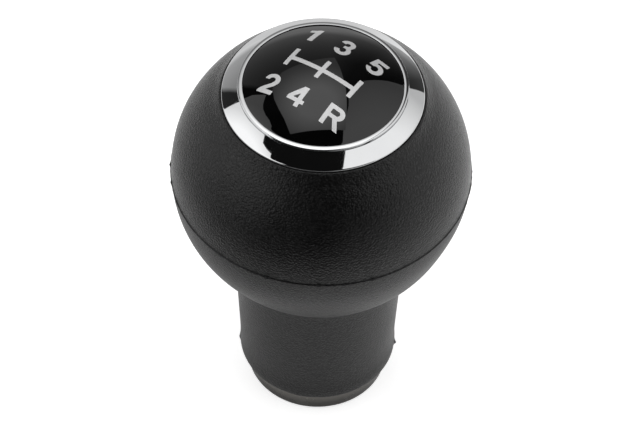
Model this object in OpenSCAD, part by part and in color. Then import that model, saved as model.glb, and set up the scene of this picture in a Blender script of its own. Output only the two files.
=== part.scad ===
// Gear shift knob for a plain round lever.
// A foamed grip is moulded over a finned insert. A plated ring and a domed
// cap for the gear pattern snap into the insert's head. A split bush with a
// spring ring grips the lever. Millimetres, +Z up, origin at the centre of
// the collar's foot. Sizes of the lever's seat build outwards: lever, bush,
// stem, collar, neck.

/* [Ball] */
// Radius of the ball at its widest
ball_r = 26; // [24.5:0.5:29]
// Height of the parting line above the collar's foot
seam_z = 52.5; // [50:0.5:60]
// Distance of the upper half's arc centre from the axis, which flattens that half
ball_flat = 2; // [1:0.25:3]
// Height of the upper half's arc centre above the parting line
ball_rise = 0.5; // [0:0.1:1]
// Distance of the lower half's arc centre from the axis
under_flat = 1.2; // [0.6:0.1:2]
// How far the raised parting line stands out of the ball
seam_out = 0.12; // [0.05:0.01:0.2]
// Radius of the parting line's bulge in section
seam_bulge_r = 0.24; // [0.2:0.01:0.4]

/* [Neck] */
// How far the neck's foot stands out past the collar
neck_lip = 1.4; // [1:0.1:2.4]
// Height of the straight stretch at the neck's foot
neck_straight_h = 3; // [1:0.5:6]
// Taper of the neck above that stretch, in degrees
neck_taper = 3; // [2:0.25:4]
// Radius of the fillet between the neck and the ball
neck_fillet_r = 6; // [4:0.5:8]
// Radius of the rounded edge at the neck's foot
neck_edge_r = 0.6; // [0.3:0.1:0.8]

/* [Collar] */
// Height of the collar that shows under the neck
collar_h = 5; // [4:0.5:9]
// How far the collar stands out of the stem
collar_step = 1.7; // [1.2:0.1:2]
// Radius of the rounded edge at the collar's foot
collar_edge_r = 0.6; // [0.4:0.1:1.2]

/* [Insert] */
// Wall of the insert's stem
stem_wall = 1.6; // [1.4:0.1:2]
// Number of keying rings round the stem
key_ring_n = 3; // [1:1:4]
// Height of a keying ring
key_ring_h = 1.4; // [1:0.1:2]
// How far a keying ring stands out of the stem
key_ring_out = 0.8; // [0.4:0.1:1]
// Distance from one keying ring to the next
key_ring_step = 7; // [5:0.5:8]
// Number of fins inside the ball
fin_n = 8; // [5:1:10]
// Thickness of a fin
fin_t = 1.8; // [1.4:0.1:2.4]
// Thickness of the foam over the fins
foam_t = 6; // [5:0.5:7]
// Width of the fin left on each side of the hole that keys the foam
fin_rim = 2.1; // [1.6:0.1:3]
// Thickness of the floor of the insert's head
head_floor_t = 2.4; // [2:0.1:3]
// Depth of the cup in the insert's head
cup_h = 4.4; // [4:0.1:6]
// Wall of the cup in the insert's head
cup_wall = 2; // [1.6:0.1:2.2]
// Thickness of the inner web that the bush's barbs hold
web_t = 2.5; // [2:0.1:3]
// Gap between the insert and the foam, filled by the bonding film
bond_gap = 0.05; // [0.02:0.01:0.1]

/* [Trim ring] */
// Outer radius of the ring
ring_r = 17.3; // [16.5:0.1:18]
// Height of the ring's outer edge above the ball
ring_lip_h = 0.7; // [0.4:0.05:1]
// Depth of the ring's foot under the ball's surface
ring_sink = 1.1; // [0.8:0.1:1.6]
// Radius of the small round on the ring's outer edge
ring_edge_r = 0.4; // [0.2:0.05:0.5]
// Wall of the ring over the hollow under its band
ring_wall = 1; // [0.8:0.1:1.2]
// Width of the band from the outer edge to the groove
band_w = 2.9; // [2.4:0.1:3.2]
// Rise of the band from the outer edge to the groove
band_rise = 1.7; // [1.4:0.1:2.2]
// Radius of the band's bulge in section
band_bulge_r = 14; // [6:1:20]
// Width of the groove between the band and the bead
groove_w = 0.1; // [0.05:0.05:0.3]
// Depth of the groove under the band's inner edge
groove_d = 0.3; // [0.2:0.05:0.5]
// Width of the bead at its foot
bead_w = 0.4; // [0.35:0.05:0.6]
// Width of the flat on the bead's top
bead_land = 0.05; // [0.05:0.01:0.15]
// Height of the bead's top above the band's inner edge
bead_rise = 0.75; // [0.5:0.05:0.9]
// Radius of the bead's outer flank in section
bead_bulge_r = 2; // [1:0.1:3]
// Width of the inner flange that the cap sits on
flange_w = 1.4; // [1.2:0.1:1.6]
// Thickness of the inner flange
flange_t = 1.1; // [0.9:0.1:1.4]
// Wall of the skirt that snaps into the insert
skirt_wall = 1.3; // [1.1:0.1:1.5]
// Depth of the skirt below the ring's foot
skirt_h = 3.2; // [2.8:0.1:3.6]
// Radius of the snap bead on the skirt
snap_r = 0.3; // [0.2:0.05:0.4]
// Height of the snap bead above the skirt's lower end
snap_lift = 0.6; // [0.5:0.1:1]

/* [Pattern cap] */
// Radius of the dome
dome_r = 28; // [25:1:40]
// Wall of the dome and of its skirt
cap_wall = 1.6; // [1.2:0.1:2]
// Depth of the cap's edge under the bead's top
cap_sink = 0.25; // [0:0.05:0.5]
// Radius of the rounded edge of the cap
cap_edge_r = 0.3; // [0.2:0.05:0.5]
// Gap between the cap and the bead
cap_gap = 0.4; // [0.1:0.05:0.5]
// Number of snap legs
leg_n = 4; // [3:1:5]
// Thickness of a snap leg
leg_t = 1.3; // [1:0.1:1.5]
// Angle that a snap leg spans, in degrees
leg_angle = 24; // [16:1:28]
// Gap between a snap leg and the flange
leg_gap = 0.2; // [0.1:0.05:0.3]
// How far a leg's hook stands out of the leg
hook_out = 0.7; // [0.5:0.1:0.9]
// Height of the straight end of a hook
hook_land = 0.5; // [0.3:0.1:0.8]
// Height of the sloping end of a hook
hook_lead = 0.9; // [0.6:0.1:1.2]
// Width of the keys that set the pattern's direction
key_w = 3; // [2:0.5:4]

/* [Lever bush] */
// Radius of the gear lever's bore
lever_r = 6; // [5.5:0.1:6.5]
// Wall of the bush
bush_wall = 1.4; // [1.2:0.1:1.6]
// Length of the bush
bush_l = 40.6; // [38:0.2:44]
// How far the bush sits above the collar's foot
bush_recess = 0.4; // [0.2:0.1:1]
// Thickness of the bush's flange
bush_flange_t = 1.2; // [1:0.1:2]
// How far the flange stands out of the ribs
bush_flange_out = 0.7; // [0.5:0.1:0.8]
// Chamfer at the mouth of the bore
mouth_chamfer = 0.8; // [0.4:0.1:1]
// Number of ribs on the bush
bush_rib_n = 6; // [3:3:9]
// Thickness of a rib on the bush
bush_rib_t = 1.4; // [1:0.1:2]
// Height of a rib over the bush's wall
bush_rib_h = 1.7; // [1.6:0.1:2.4]
// Length of the ribs above the flange
bush_rib_l = 26; // [18:1:28]
// Number of fingers at the bush's upper end
finger_n = 3; // [2:1:4]
// Width of the slot between two fingers
slot_w = 1.6; // [1:0.1:2]
// Length of the fingers
finger_l = 24; // [18:1:28]
// How far a finger's barb stands out of the bush
barb_out = 1; // [0.7:0.1:1.2]
// Height of the straight end of a barb
barb_land = 0.7; // [0.5:0.1:1]
// Height of the sloping end of a barb
barb_lead = 1.5; // [1:0.1:2]
// Gap between the bush and the web that it passes through
web_gap = 0.2; // [0.1:0.05:0.3]
// Clearance between pieces that are pushed together
fit_gap = 0.1; // [0.05:0.01:0.15]

/* [Clamp ring] */
// Radius of the spring wire
wire_r = 0.6; // [0.4:0.05:0.7]
// Depth of the groove that the wire lies in
wire_groove_d = 0.5; // [0.3:0.05:0.6]
// Clearance between the wire and its groove
wire_gap = 0.02; // [0.01:0.01:0.05]
// Distance of the wire's middle below the web
wire_drop = 4; // [2:0.5:5]
// Opening of the ring, in degrees
wire_opening = 50; // [30:5:90]

/* [Hidden] */
$fn = 96;
// How far a cut runs clear of the face that it starts from
cut = 1;
// Lever's seat, from the lever outwards
bush_r = lever_r + bush_wall;
rib_r = bush_r + bush_rib_h;
bush_flange_r = rib_r + bush_flange_out;
bore_r = rib_r + fit_gap;
stem_r = bore_r + stem_wall;
collar_r = stem_r + collar_step;
neck_foot_r = collar_r + neck_lip;
bush_top_z = bush_recess + bush_l;
barb_z = bush_top_z - barb_lead - barb_land;
web_z = barb_z - fit_gap - web_t;
wire_z = web_z - wire_drop;
wire_mid_r = bush_r - wire_groove_d + wire_gap + wire_r;
// Ball: the upper half is an arc about arc_mid in section, the lower half one about under_mid
arc_r = ball_r - ball_flat;
arc_z = seam_z + ball_rise;
arc_mid = [ball_flat, arc_z];
under_r = ball_r - under_flat;
under_mid = [under_flat, seam_z];
// Fins, from the stem to an arc under the foam, with a hole in the middle of their width
fin_arc_r = arc_r - foam_t;
fin_w = ball_flat + fin_arc_r - stem_r;
fin_hole_r = fin_w / 2 - fin_rim;
// Neck: the line of its taper, and the fillet's circle that touches it and the ball
taper_z = collar_h + neck_straight_h;
taper_dir = [sin(neck_taper), cos(neck_taper)];
taper_out = [cos(neck_taper), -sin(neck_taper)];
fillet_from = [neck_foot_r, taper_z] + neck_fillet_r * taper_out - under_mid;
fillet_along = fillet_from * taper_dir;
fillet_reach = under_r + neck_fillet_r;
fillet_root = sqrt(fillet_along * fillet_along - fillet_from * fillet_from + fillet_reach * fillet_reach);
fillet_mid = under_mid + fillet_from - (fillet_along + fillet_root) * taper_dir;
fillet_on_neck = fillet_mid - neck_fillet_r * taper_out;
fillet_on_ball = under_mid + (fillet_mid - under_mid) * under_r / fillet_reach;
// Ring: heights from the foot up, radii from the outer edge in
ring_foot_z = ball_z(ring_r) - ring_sink;
flange_z = ring_foot_z + flange_t;
ring_edge_z = ball_z(ring_r) + ring_lip_h;
band_in_z = ring_edge_z + band_rise;
bead_top_z = band_in_z + bead_rise;
band_in_r = ring_r - band_w;
bead_out_r = band_in_r - groove_w;
bead_in_r = bead_out_r - bead_w;
flange_in_r = bead_in_r - flange_w;
band_mid = arc_centre([ring_r, ring_edge_z], [band_in_r, band_in_z], band_bulge_r);
bead_mid = arc_centre([bead_out_r, band_in_z], [bead_in_r + bead_land, bead_top_z], bead_bulge_r);
// Head of the insert and the skirt in it
cup_r = ring_r - cup_wall;
floor_z = ring_foot_z - cup_h;
skirt_r = cup_r - fit_gap;
skirt_in_r = skirt_r - skirt_wall;
skirt_z = ring_foot_z - skirt_h;
snap_z = skirt_z + snap_lift;
// Pattern cap
cap_r = bead_in_r - cap_gap;
cap_edge_z = bead_top_z - cap_sink;
dome_mid = [0, cap_edge_z - sqrt(dome_r * dome_r - cap_r * cap_r)];
dome_in_r = dome_r - cap_wall;
leg_r = flange_in_r - leg_gap;
leg_in_r = leg_r - leg_t;
leg_top_z = dome_mid.y + sqrt(dome_in_r * dome_in_r - leg_in_r * leg_in_r);
hook_z = ring_foot_z - fit_gap;

// Height of the ball's upper half at a distance from the axis
function ball_z(r) = arc_z + sqrt(arc_r * arc_r - (r - ball_flat) * (r - ball_flat));

// Centre of the circle of radius r through p and q, on the side of the axis and the foot
function arc_centre(p, q, r) =
    (p + q) / 2 - [abs(p.y - q.y), abs(p.x - q.x)] / norm(p - q) * sqrt(r * r - (p - q) * (p - q) / 4);

// A section turned round the axis
module turned() {
    rotate_extrude() children();
}

// A rectangle in section, from radius r0 to r1 and from height z0 to z1
module band(r0, r1, z0, z1) {
    translate([r0, z0]) square([r1 - r0, z1 - z0]);
}

// A section under an arc, from radius r0 to an upright side, with a round between the two
module crowned(mid, arc, r0, side_r, edge_r, z0) {
    edge_x = side_r - edge_r;
    edge_mid = [edge_x, mid.y + sqrt((arc - edge_r) * (arc - edge_r) - (edge_x - mid.x) * (edge_x - mid.x))];
    edge_on_arc = mid + (edge_mid - mid) * arc / (arc - edge_r);
    intersection() {
        translate(mid) circle(r = arc);
        band(r0, edge_on_arc.x, z0, mid.y + arc);
    }
    translate(edge_mid) circle(r = edge_r);
    band(r0, side_r, z0, edge_mid.y);
}

// Copies set evenly round the axis
module around(n, first = 0) {
    for (i = [0 : n - 1]) rotate([0, 0, first + 360 * i / n]) children();
}

// Section of the ball and the neck, with the raised parting line
module grip_section() {
    intersection() {
        translate(arc_mid) circle(r = arc_r);
        band(0, ball_r + cut, seam_z, ring_edge_z);
    }
    intersection() {
        translate(under_mid) circle(r = under_r);
        band(0, ball_r + cut, collar_h, seam_z);
    }
    translate([ball_r + seam_out - seam_bulge_r, seam_z]) circle(r = seam_bulge_r);
    // Neck and its fillet
    difference() {
        polygon([
            [0, collar_h + neck_edge_r],
            [neck_foot_r, collar_h + neck_edge_r],
            [neck_foot_r, taper_z],
            fillet_on_neck,
            fillet_on_ball,
            [0, seam_z]
        ]);
        translate(fillet_mid) circle(r = neck_fillet_r);
    }
    // Rounded edge at the neck's foot
    band(0, neck_foot_r - neck_edge_r, collar_h, taper_z);
    translate([neck_foot_r - neck_edge_r, collar_h + neck_edge_r]) circle(r = neck_edge_r);
}

// Section of the insert's outside, grown by a gap
module insert_section(gap = 0) {
    band(0, collar_r + gap, collar_edge_r, collar_h + gap);
    band(0, stem_r + gap, 0, floor_z);
    for (i = [1 : key_ring_n]) {
        key_ring_z = collar_h + i * key_ring_step;
        band(0, stem_r + key_ring_out + gap, key_ring_z - gap, key_ring_z + key_ring_h + gap);
    }
    band(0, ring_r + gap, floor_z - head_floor_t - gap, ring_foot_z + gap);
}

// Fins inside the ball, grown by a gap, with a hole through each
module fins(gap = 0) {
    difference() {
        intersection() {
            around(fin_n) {
                translate([0, -fin_t / 2 - gap, arc_z - arc_r]) cube([ball_r, fin_t + 2 * gap, 2 * arc_r]);
            }
            turned() {
                intersection() {
                    translate(arc_mid) circle(r = fin_arc_r + gap);
                    band(0, ball_r, arc_z - arc_r, floor_z);
                }
            }
        }
        around(fin_n) {
            translate([stem_r + fin_w / 2, 0, arc_z]) {
                rotate([90, 0, 0]) cylinder(r = fin_hole_r - gap, h = 2 * fin_t, center = true);
            }
        }
    }
}

// Grip: ball and neck in one moulding round the insert
module grip_cover() {
    color("#2b2b2d") difference() {
        turned() grip_section();
        turned() {
            insert_section(bond_gap);
            band(0, ring_r + bond_gap, ring_foot_z, ring_edge_z + cut);
        }
        fins(bond_gap);
    }
}

// Insert: collar, stem with keying rings, fins and the cup that holds the ring
module core() {
    color("#3a3836") {
        difference() {
            union() {
                turned() {
                    insert_section();
                    band(0, collar_r - collar_edge_r, 0, collar_edge_r);
                    translate([collar_r - collar_edge_r, collar_edge_r]) circle(r = collar_edge_r);
                }
                fins();
            }
            turned() core_bore_section();
        }
        // Key in the cup that sets the ring's direction
        intersection() {
            translate([0, -key_w / 2, floor_z - cut]) cube([ring_r, key_w, cup_h]);
            turned() band(skirt_in_r, cup_r + cut, floor_z - cut, ring_foot_z);
        }
    }
}

// Section of the room inside the insert: the bush's seat, the hollow stem and the cup
module core_bore_section() {
    band(0, bush_flange_r + fit_gap, -cut, bush_recess + bush_flange_t);
    band(0, bore_r, 0, web_z);
    band(0, bush_r + web_gap, web_z - cut, web_z + web_t + cut);
    band(0, bore_r, web_z + web_t, floor_z + cut);
    band(0, cup_r, floor_z, ring_foot_z + cut);
    // Groove for the ring's snap bead
    translate([skirt_r, snap_z]) circle(r = snap_r + fit_gap);
}

// Section of the trim ring
module ring_section() {
    difference() {
        union() {
            crowned(band_mid, band_bulge_r, bead_in_r, ring_r, ring_edge_r, ring_foot_z);
            // Bead, with a bulged outer flank
            intersection() {
                translate(bead_mid) circle(r = bead_bulge_r);
                band(bead_in_r, bead_out_r, ring_foot_z, bead_top_z);
            }
            // Flange that carries the cap
            band(flange_in_r, ring_r, ring_foot_z, flange_z);
            // Skirt and its snap bead
            band(skirt_in_r, skirt_r, skirt_z, flange_z);
            translate([skirt_r, snap_z]) circle(r = snap_r);
        }
        // Groove between the band and the bead
        band(bead_out_r, band_in_r, band_in_z - groove_d, bead_top_z);
        // Hollow under the band
        band(skirt_r, ring_r - ring_wall, ring_foot_z - cut, ring_edge_z - ring_edge_r);
    }
}

// Trim ring: plated band and bead, with a skirt that snaps into the insert
module trim_ring() {
    notch_w = key_w + 2 * fit_gap;
    color("#d6d8da") difference() {
        turned() ring_section();
        // Notch in the skirt for the insert's key
        translate([0, -notch_w / 2, skirt_z - cut]) cube([ring_r, notch_w, skirt_h + cut]);
        // Notch in the flange for the cap's key
        translate([-bead_in_r, -notch_w / 2, ring_foot_z - cut]) cube([bead_in_r, notch_w, flange_t + cut]);
    }
}

// Section of the pattern cap's dome and skirt
module cap_section() {
    difference() {
        crowned(dome_mid, dome_r, 0, cap_r, cap_edge_r, flange_z);
        intersection() {
            translate(dome_mid) circle(r = dome_in_r);
            band(0, cap_r - cap_wall, flange_z - cut, cap_edge_z + dome_r);
        }
    }
}

// Section of a snap leg with its hook
module leg_section() {
    polygon([
        [leg_in_r, hook_z - hook_land - hook_lead],
        [leg_r, hook_z - hook_land - hook_lead],
        [leg_r + hook_out, hook_z - hook_land],
        [leg_r + hook_out, hook_z],
        [leg_r, hook_z],
        [leg_r, leg_top_z],
        [leg_in_r, leg_top_z]
    ]);
}

// Pattern cap: thin dome with snap legs and a key
module pattern_cap() {
    color("#101012") {
        turned() cap_section();
        around(leg_n, 45 - leg_angle / 2) rotate_extrude(angle = leg_angle) leg_section();
        // Key that drops into the notch in the ring's flange
        intersection() {
            translate([-cap_r, -key_w / 2, ring_foot_z]) cube([cap_r, key_w, 2 * flange_t]);
            turned() band(cap_r - cap_wall, cap_r, ring_foot_z, flange_z + flange_t);
        }
    }
}

// Section of the bush's sleeve with its flange and its barbs
module bush_section() {
    difference() {
        union() {
            band(lever_r, bush_r, bush_recess, bush_top_z);
            band(lever_r, bush_flange_r, bush_recess, bush_recess + bush_flange_t);
            polygon([
                [lever_r, barb_z],
                [bush_r + barb_out, barb_z],
                [bush_r + barb_out, barb_z + barb_land],
                [bush_r, bush_top_z],
                [lever_r, bush_top_z]
            ]);
        }
        // Chamfer at the mouth
        polygon([
            [lever_r - cut, bush_recess - cut],
            [lever_r + mouth_chamfer + cut, bush_recess - cut],
            [lever_r - cut, bush_recess + mouth_chamfer + cut]
        ]);
    }
}

// Section of the groove for the clamp ring, open outwards so that it also passes ribs that reach it
module wire_groove_section() {
    room_r = wire_r + wire_gap;
    translate([wire_mid_r, wire_z]) circle(r = room_r);
    band(wire_mid_r, rib_r + cut, wire_z - room_r, wire_z + room_r);
}

// Lever bush: ribbed sleeve, split into fingers at its upper end
module lever_bush() {
    rib_top_z = bush_recess + bush_flange_t + bush_rib_l;
    color("#8d8a80") difference() {
        union() {
            turned() bush_section();
            // Ribs that centre the bush in the stem
            intersection() {
                around(bush_rib_n, 180 / bush_rib_n) {
                    translate([0, -bush_rib_t / 2, bush_recess]) cube([stem_r, bush_rib_t, bush_l]);
                }
                turned() band(bush_r - bush_wall / 2, rib_r, bush_recess, rib_top_z);
            }
        }
        turned() wire_groove_section();
        // Slots between the fingers
        around(finger_n) {
            translate([0, -slot_w / 2, bush_top_z - finger_l]) cube([stem_r, slot_w, finger_l + cut]);
        }
    }
}

// Clamp ring: open ring of spring wire round the bush's fingers
module clamp_ring() {
    color("#b9bcc0") rotate([0, 0, wire_opening / 2]) {
        rotate_extrude(angle = 360 - wire_opening) {
            translate([wire_mid_r, wire_z]) circle(r = wire_r);
        }
    }
}

grip_cover();
core();
trim_ring();
pattern_cap();
lever_bush();
clamp_ring();
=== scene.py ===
import math
import random

import bmesh
import bpy
import numpy as np
from mathutils import Matrix, Vector


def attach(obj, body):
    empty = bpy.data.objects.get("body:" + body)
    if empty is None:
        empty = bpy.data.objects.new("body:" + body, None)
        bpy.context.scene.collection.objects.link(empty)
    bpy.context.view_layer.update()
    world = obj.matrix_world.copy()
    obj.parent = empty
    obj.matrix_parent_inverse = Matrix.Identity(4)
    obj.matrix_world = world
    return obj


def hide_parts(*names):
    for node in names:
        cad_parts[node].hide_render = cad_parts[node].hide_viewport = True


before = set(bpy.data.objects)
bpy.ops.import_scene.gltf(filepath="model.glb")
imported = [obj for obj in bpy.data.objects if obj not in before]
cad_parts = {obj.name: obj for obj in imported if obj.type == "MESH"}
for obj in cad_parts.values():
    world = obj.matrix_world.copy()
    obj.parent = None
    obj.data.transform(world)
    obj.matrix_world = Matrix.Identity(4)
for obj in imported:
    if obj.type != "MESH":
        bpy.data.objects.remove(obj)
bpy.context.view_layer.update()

scene = bpy.context.scene
MM = 0.001
# Height of the parting line in millimetres
SEAM_Z = 52.5
# Row directions in degrees: the picture's right, and the front that faces the camera
PICTURE_RIGHT, FRONT = 33.55, -56.45


# Camera
AZIMUTH = math.radians(PICTURE_RIGHT)
ELEVATION = math.radians(49.67)
ROLL = math.radians(1.4)
DISTANCE = 0.7
CLIP_NEAR, CLIP_FAR = 0.01, 50
FOCAL_PX = 4037.1
FRAME_W, FRAME_H = 640, 427
SENSOR_MM = 36.0
# The ball's middle and the pixel of the frame where it shows
AIM_POINT = Vector((0, 0, SEAM_Z * MM))
AIM_PX = (321.26, 168.39)

RIGHT = Vector((math.cos(AZIMUTH), math.sin(AZIMUTH), 0))
AWAY = Vector((-math.sin(AZIMUTH), math.cos(AZIMUTH), 0))
UP = Vector((0, 0, 1))


def make_camera():
    """A camera at the fitted distance, turned so that AIM_POINT shows at AIM_PX."""
    back = -AWAY * math.cos(ELEVATION) + UP * math.sin(ELEVATION)
    level_up = back.cross(RIGHT)
    right = RIGHT * math.cos(ROLL) + level_up * math.sin(ROLL)
    up = level_up * math.cos(ROLL) - RIGHT * math.sin(ROLL)
    place = AIM_POINT + back * DISTANCE
    px = DISTANCE / FOCAL_PX
    aim = AIM_POINT - right * (AIM_PX[0] - FRAME_W / 2) * px - up * (FRAME_H / 2 - AIM_PX[1]) * px
    z_axis = (place - aim).normalized()
    x_axis = up.cross(z_axis).normalized()
    y_axis = z_axis.cross(x_axis)
    turn = Matrix((x_axis, y_axis, z_axis)).transposed().to_4x4()
    data = bpy.data.cameras.new("camera")
    data.sensor_width = SENSOR_MM
    data.lens = FOCAL_PX / FRAME_W * SENSOR_MM
    data.clip_start, data.clip_end = CLIP_NEAR, CLIP_FAR
    cam = bpy.data.objects.new("camera", data)
    cam.matrix_world = Matrix.Translation(place) @ turn
    scene.collection.objects.link(cam)
    scene.camera = cam


make_camera()
scene.view_settings.view_transform = "Standard"


# Node helpers
class Tree:
    """A material's node tree with short calls to add and join nodes."""

    def __init__(self, name):
        self.mat = bpy.data.materials.new(name)
        self.mat.use_nodes = True
        self.nodes = self.mat.node_tree.nodes
        self.links = self.mat.node_tree.links
        self.shader = self.nodes["Principled BSDF"]
        self.out = self.nodes["Material Output"]

    def put(self, socket, value):
        if isinstance(value, bpy.types.NodeSocket):
            self.links.new(value, socket)
        else:
            socket.default_value = value

    def add(self, kind, inputs=(), **props):
        node = self.nodes.new("ShaderNode" + kind)
        for key, value in props.items():
            setattr(node, key, value)
        for key, value in dict(inputs).items():
            self.put(node.inputs[key], value)
        return node

    def math(self, operation, a, b=0.0, c=0.0):
        return self.add("Math", {0: a, 1: b, 2: c}, operation=operation).outputs[0]

    def shares(self, a, b, share_a, share_b):
        """The sum of two values, each times its share."""
        return self.math("MULTIPLY_ADD", a, share_a, self.math("MULTIPLY", b, share_b))

    def vector(self, operation, a, b=(0, 0, 0)):
        """Vector maths; dot products and lengths give a number."""
        node = self.add("VectorMath", {0: a, 1: b}, operation=operation)
        return node.outputs["Value" if operation in ("DOT_PRODUCT", "LENGTH") else "Vector"]

    def place(self):
        return self.add("TexCoord").outputs["Object"]

    def upward(self, vector):
        return self.add("SeparateXYZ", {0: vector}).outputs["Z"]

    def noise(self, scale, detail, roughness, vector=None):
        node = self.add("TexNoise", {"Scale": scale, "Detail": detail, "Roughness": roughness})
        self.put(node.inputs["Vector"], vector or self.place())
        return node.outputs["Fac"]

    def cells(self, scale, smoothness, vector):
        inputs = {"Scale": scale, "Smoothness": smoothness, "Vector": vector}
        return self.add("TexVoronoi", inputs, feature="SMOOTH_F1").outputs["Distance"]

    def ramp(self, value, span, out=(0.0, 1.0)):
        """The value's way along a span, held at its ends, turned into a value between two others."""
        node = self.add("MapRange", {0: value, 1: span[0], 2: span[1], 3: out[0], 4: out[1]})
        return node.outputs[0]

    def tint(self, value, dark, light):
        node = self.add("Mix", {0: value}, data_type="RGBA")
        self.put(node.inputs[6], (*dark, 1))
        self.put(node.inputs[7], (*light, 1))
        return node.outputs[2]

    def bump(self, height, depth, strength=1.0):
        node = self.add("Bump", {"Strength": strength, "Distance": depth, "Height": height})
        return node.outputs["Normal"]

    def finish(self, **sockets):
        for key, value in sockets.items():
            self.put(self.shader.inputs[key.replace("_", " ")], value)
        return self.mat


# Materials
PLASTIC_IOR = 1.5
# Foam: the blur between its halves in millimetres, and how its pebbles are bent out of line
SEAM_BLUR = 0.05
WARP_SCALE, WARP_DETAIL, WARP_REACH = 1600, 2.0, 0.0004
# Foam: shares of pebbles and drift in the grain of the upper and the lower half, and of the finest grain
UPPER_SHARES, LOWER_SHARES, FINE_SHARE = (0.66, 0.38), (0.55, 0.40), 0.55
GRAIN_DEPTH = 0.00012
PEBBLE_SHADE = -0.5
# Foam: how much its blotches add to the roughness, and how much is taken off it first
BLOTCH_ROUGHNESS, LESS_ROUGH = 0.08, 0.04
FOAM_IOR, FINE_SHINE = 1.38, 0.3
# Ink: shares of flakes and wear in its colour
INK_SHARES = (0.5, 0.5)
# Collar: heights in millimetres between which its painted shade at the foot gives way to its own pale
# colour, and the share of its mottle
COLLAR_SHADE_FADE, COLLAR_MOTTLE = (1.4, 4.4), 0.25
# Spring wire: how much its lines are squeezed along the axis
DRAWN_SCALE = (1, 1, 40)


def foam_material():
    """Integral-skin foam: leather grain on the ball's upper half, a finer and smoother skin below."""
    t = Tree("foam_skin")
    place = t.place()
    upper = t.ramp(t.upward(place), span=((SEAM_Z - SEAM_BLUR) * MM, (SEAM_Z + SEAM_BLUR) * MM))
    shift = t.add("TexNoise", {"Scale": WARP_SCALE, "Detail": WARP_DETAIL, "Vector": place})
    scaled = t.add("VectorMath", {0: shift.outputs["Color"], 3: WARP_REACH}, operation="SCALE")
    warp = t.vector("ADD", place, scaled.outputs[0])
    drift = t.noise(scale=2400, detail=3, roughness=0.65)
    fine = t.noise(scale=4400, detail=3, roughness=0.7)
    blotch = t.noise(scale=140, detail=3, roughness=0.55)
    pebble = t.cells(scale=2800, smoothness=0.6, vector=warp)
    coarse = t.shares(pebble, drift, *UPPER_SHARES)
    smooth = t.shares(pebble, drift, *LOWER_SHARES)
    grain = t.add("Mix", {0: upper, 2: smooth, 3: coarse}).outputs[0]
    bump = t.bump(t.math("MULTIPLY_ADD", fine, FINE_SHARE, grain), depth=GRAIN_DEPTH)
    patches = t.ramp(blotch, span=(0.3, 0.7), out=(0.3, 1.0))
    shade = t.math("MULTIPLY_ADD", pebble, PEBBLE_SHADE, patches)
    colour = t.tint(shade, dark=(0.0026, 0.0026, 0.0026), light=(0.0076, 0.0076, 0.0077))
    skin = t.ramp(upper, span=(0, 1), out=(0.34, 0.25))
    rough = t.math("MULTIPLY_ADD", blotch, BLOTCH_ROUGHNESS, t.math("SUBTRACT", skin, LESS_ROUGH))
    pits = t.ramp(pebble, span=(0.10, 0.50), out=(0.57, 0.28))
    shine = t.math("MULTIPLY_ADD", fine, FINE_SHINE, pits)
    return t.finish(Base_Color=colour, Roughness=rough, Normal=bump, IOR=FOAM_IOR, Specular_IOR_Level=shine)


def chrome_material():
    """Bright plating with a faint haze and ripple."""
    t = Tree("plated_chrome")
    haze = t.noise(scale=260, detail=3, roughness=0.6)
    ripple = t.noise(scale=120, detail=2, roughness=0.5)
    colour = t.tint(haze, dark=(0.62, 0.625, 0.63), light=(0.67, 0.675, 0.68))
    rough = t.ramp(haze, span=(0.35, 0.7), out=(0.02, 0.06))
    bump = t.bump(ripple, depth=0.00002, strength=0.25)
    return t.finish(Base_Color=colour, Metallic=1.0, Roughness=rough, Normal=bump)


def gloss_material():
    """Polished black plastic with a faint haze and ripple."""
    t = Tree("piano_black")
    haze = t.noise(scale=320, detail=4, roughness=0.65)
    ripple = t.noise(scale=60, detail=1, roughness=0.5)
    colour = t.tint(haze, dark=(0.0008, 0.0008, 0.0009), light=(0.0018, 0.0018, 0.0019))
    rough = t.ramp(haze, span=(0.35, 0.75), out=(0.010, 0.030))
    bump = t.bump(ripple, depth=0.00002, strength=0.2)
    return t.finish(Base_Color=colour, Roughness=rough, Normal=bump, IOR=PLASTIC_IOR)


def print_material():
    """Silver-grey ink with fine flakes."""
    t = Tree("silver_print")
    flake = t.noise(scale=6000, detail=2, roughness=0.6)
    wear = t.noise(scale=700, detail=4, roughness=0.6)
    worn = t.shares(flake, wear, *INK_SHARES)
    colour = t.tint(worn, dark=(0.60, 0.60, 0.605), light=(0.76, 0.76, 0.765))
    rough = t.ramp(flake, span=(0.3, 0.7), out=(0.38, 0.52))
    bump = t.bump(flake, depth=0.00001, strength=0.4)
    return t.finish(Base_Color=colour, Metallic=0.45, Roughness=rough, Normal=bump)


def collar_material():
    """The insert's satin plastic, pale grey-brown above, and darkened to nearly black at the foot by
    painted shade where it meets the table.
    """
    t = Tree("insert_plastic")
    mottle = t.noise(scale=220, detail=4, roughness=0.6)
    fine = t.noise(scale=3500, detail=3, roughness=0.6)
    # Painted shade: dark at the foot, where the collar meets the table, fading to the plastic's own colour
    # above
    shade_fade = t.ramp(t.upward(t.place()), span=(COLLAR_SHADE_FADE[0] * MM, COLLAR_SHADE_FADE[1] * MM))
    level = t.math("MULTIPLY_ADD", mottle, COLLAR_MOTTLE, shade_fade)
    colour = t.tint(level, dark=(0.007, 0.006, 0.004), light=(0.190, 0.178, 0.158))
    rough = t.ramp(mottle, span=(0.3, 0.7), out=(0.20, 0.30))
    bump = t.bump(fine, depth=0.00002, strength=0.3)
    return t.finish(Base_Color=colour, Roughness=rough, Normal=bump, IOR=PLASTIC_IOR)


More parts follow.
